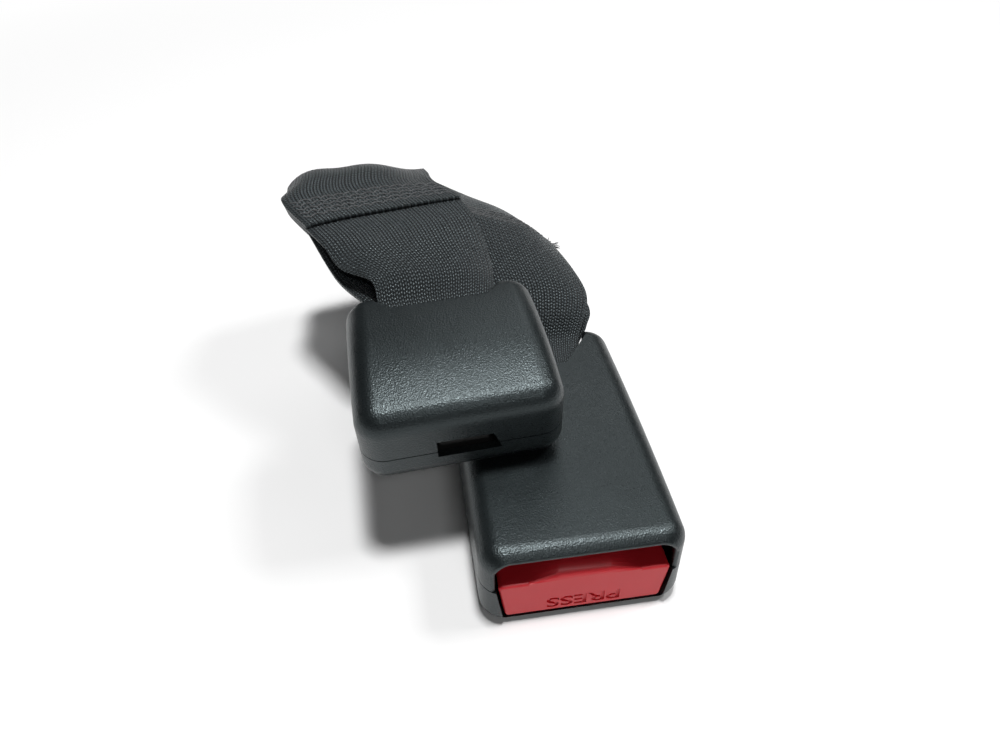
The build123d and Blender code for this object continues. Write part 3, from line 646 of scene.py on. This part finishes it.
buckle_seam_start = run_along(middle_layer)[-1] - buckle_seam_back
receptacle_rows = [receptacle_seam_start + number * receptacle_seam_gap
                   for number in range(receptacle_seam_rows)]
buckle_rows = [buckle_seam_start + number * buckle_seam_gap for number in range(buckle_seam_rows)]
seams = [
    sew("receptacle_seam_top", outer_layer, 1, receptacle_rows, 1),
    sew("receptacle_seam_under", inner_layer, -1, receptacle_rows, 2),
    sew("buckle_seam_top", inner_layer, -1, buckle_rows, 3),
    sew("buckle_seam_under", outer_layer, 1, buckle_rows, 4),
]


def frayed_corner():
    """Loose yarns at the corner of the strap's cut end."""
    random.seed(7)
    corner = middle_layer[-1][columns]
    inward = (middle_layer[-1][0] - corner).normalized()
    back = (middle_layer[-4][columns] - corner).normalized()
    yarns = bpy.data.curves.new("frayed_corner", "CURVE")
    yarns.dimensions = "3D"
    yarns.bevel_depth = yarn_radius / 1000
    yarns.bevel_resolution = 1
    for _ in range(yarn_count):
        root = corner + inward * random.uniform(0.2, 2.2) + back * random.uniform(0.5, 3.0)
        way = -inward + back * random.uniform(-0.5, 0.7) + Vector((0, 0, random.uniform(0.1, 0.9)))
        line = yarns.splines.new("POLY")
        line.points.add(3)
        length = random.uniform(2.6, 4.2)
        for step, point in enumerate(line.points):
            reach = length * step / 3
            sway = Vector((random.uniform(-0.2, 0.2), random.uniform(-0.2, 0.2),
                           -0.05 * reach ** 2))
            point.co = (*part_place(root + way * reach + sway), 1)
            point.radius = 1.0 - 0.2 * step
    piece = add_object("frayed_corner", yarns)
    select_only(piece)
    bpy.ops.object.convert(target="MESH")
    bpy.ops.object.select_all(action="DESELECT")
    dress(piece, thread)
    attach(piece, "heads_and_strap")
    return piece


tuft = frayed_corner()
seams + [tuft]


# ------------------------------------------------------------------ button
def word_for_use():
    """The word on the button, a mesh that faces forwards and reads upright from behind."""
    bpy.ops.object.text_add(location=(0, 0, 0))
    word = bpy.context.object
    word.data.body = "PRESS"
    word.data.align_x = "CENTER"
    word.data.align_y = "CENTER"
    word.data.size = word_height / 1000
    word.data.extrude = word_depth / 1000
    word.data.offset = word_boldness / 1000
    bpy.ops.object.convert(target="MESH")
    merge_corners(word.data, face_outwards=True)
    face_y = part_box("release_button")[0][1]
    turn = Matrix(((-1, 0, 0), (0, 0, -1), (0, -1, 0))).to_4x4()
    reaches = [vertex.co.x for vertex in word.data.vertices]
    widen = Matrix.Diagonal((word_width / 1000 / (max(reaches) - min(reaches)), 1, 1, 1))
    word.data.transform(Matrix.Translation((0, face_y, word_middle_z / 1000)) @ turn @ widen)
    return word


def engraved_button():
    """The push button with the word for its use sunk into its face."""
    button = add_object("engraved_button", nodes["release_button"].data.copy())
    merge_corners(button.data)
    word = word_for_use()
    cut = button.modifiers.new("word", "BOOLEAN")
    cut.operation = "DIFFERENCE"
    cut.solver = "EXACT"
    cut.use_self = True
    cut.use_hole_tolerant = True
    cut.object = word
    apply_modifiers(button)
    bpy.data.objects.remove(word)
    dress(button, red)
    select_only(button)
    bpy.ops.object.shade_smooth_by_angle(angle=math.radians(25))
    even = button.modifiers.new("even shading", "WEIGHTED_NORMAL")
    even.keep_sharp = True
    even.weight = 90
    apply_modifiers(button)
    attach(button, "button")
    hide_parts("release_button")


engraved_button()


# ------------------------------------------------------------------ stage, in metres
lit_point = Vector((-0.02, 0.02, 0.03))
floor_drop = 0.00005           # keeps the floor and the undersides apart
backdrop_from = 0.30           # from here outwards the floor turns white
backdrop_full = 0.60


def pale_floor():
    """A matte floor that keeps the shadow and turns into the white backdrop further away."""
    bpy.ops.mesh.primitive_plane_add(size=6, location=(0, 0, -floor_drop))
    floor = bpy.context.object
    floor.name = "floor"
    material = bpy.data.materials.new("pale_floor")
    material.use_nodes = True
    tree = material.node_tree
    tree.nodes.clear()
    camera_ray = add_node(tree, "ShaderNodeLightPath", output="Is Camera Ray")
    glossy_ray = add_node(tree, "ShaderNodeLightPath", output="Is Glossy Ray")
    # Paler to the camera and in reflections than to the light that it throws on the object.
    tone = add_node(tree, "ShaderNodeMix", {"data_type": "RGBA"}, output=2,
                    _0=camera_ray + glossy_ray, _6=grey(0.76), _7=grey(0.88))
    matte = add_node(tree, "ShaderNodeBsdfDiffuse", Color=tone)
    backdrop = add_node(tree, "ShaderNodeEmission", Color=grey(1), Strength=1.0)
    spot = add_node(tree, "ShaderNodeTexCoord", output="Object")
    reach = add_node(tree, "ShaderNodeVectorMath", {"operation": "LENGTH"}, output="Value",
                     _0=spot)
    far = reach.between(backdrop_from, backdrop_full) * camera_ray
    ground = add_node(tree, "ShaderNodeMixShader", _0=far, _1=matte, _2=backdrop)
    add_node(tree, "ShaderNodeOutputMaterial", Surface=ground)
    floor.data.materials.append(material)


def room():
    """A dim room for the object, which the camera sees as white."""
    world = bpy.data.worlds.new("room")
    bpy.context.scene.world = world
    world.use_nodes = True
    tree = world.node_tree
    tree.nodes.clear()
    camera_ray = add_node(tree, "ShaderNodeLightPath", output="Is Camera Ray")
    strength = add_node(tree, "ShaderNodeMix", {"data_type": "FLOAT"}, _0=camera_ray, _2=0.04,
                        _3=1.0)
    glow = add_node(tree, "ShaderNodeBackground", Color=grey(1), Strength=strength)
    add_node(tree, "ShaderNodeOutputWorld", Surface=glow)


def panel(name, place, width, depth, power):
    """A lamp of a size and a power in watts, turned to the middle of the object."""
    light = bpy.data.lights.new(name, "AREA")
    light.shape = "RECTANGLE"
    light.size = width
    light.size_y = depth
    light.energy = power
    holder = add_object(name, light)
    holder.location = place
    aim = lit_point - Vector(place)
    holder.rotation_euler = aim.to_track_quat("-Z", "Y").to_euler()


def camera():
    place = (-0.0371, -0.1536, 0.1786)
    yaw, pitch, roll = 0.148, 0.710, -0.010
    ahead = Vector((math.sin(yaw) * math.cos(pitch), math.cos(yaw) * math.cos(pitch),
                    -math.sin(pitch)))
    level = Vector((math.cos(yaw), -math.sin(yaw), 0))
    upright = level.cross(ahead)
    right = level * math.cos(roll) + upright * math.sin(roll)
    up = upright * math.cos(roll) - level * math.sin(roll)
    data = bpy.data.cameras.new("camera")
    data.lens = 28.89
    data.sensor_width = 36
    data.clip_start = 0.01
    holder = add_object("camera", data)
    turn = Matrix((right, up, -ahead)).transposed().to_4x4()
    holder.matrix_world = Matrix.Translation(place) @ turn
    bpy.context.scene.camera = holder


pale_floor()
room()
panel("ceiling", (0.03, -0.02, 1.58), 0.24, 0.20, 21.0)
panel("window", (0.92, 0.12, 1.30), 0.40, 0.36, 8.0)
panel("rear_wall", (0.42, 1.30, 1.25), 0.8, 0.7, 3.6)
panel("front_wall", (0.12, -1.00, 1.05), 0.36, 0.22, 2.3)
camera()
bpy.context.scene.view_settings.view_transform = "Standard"
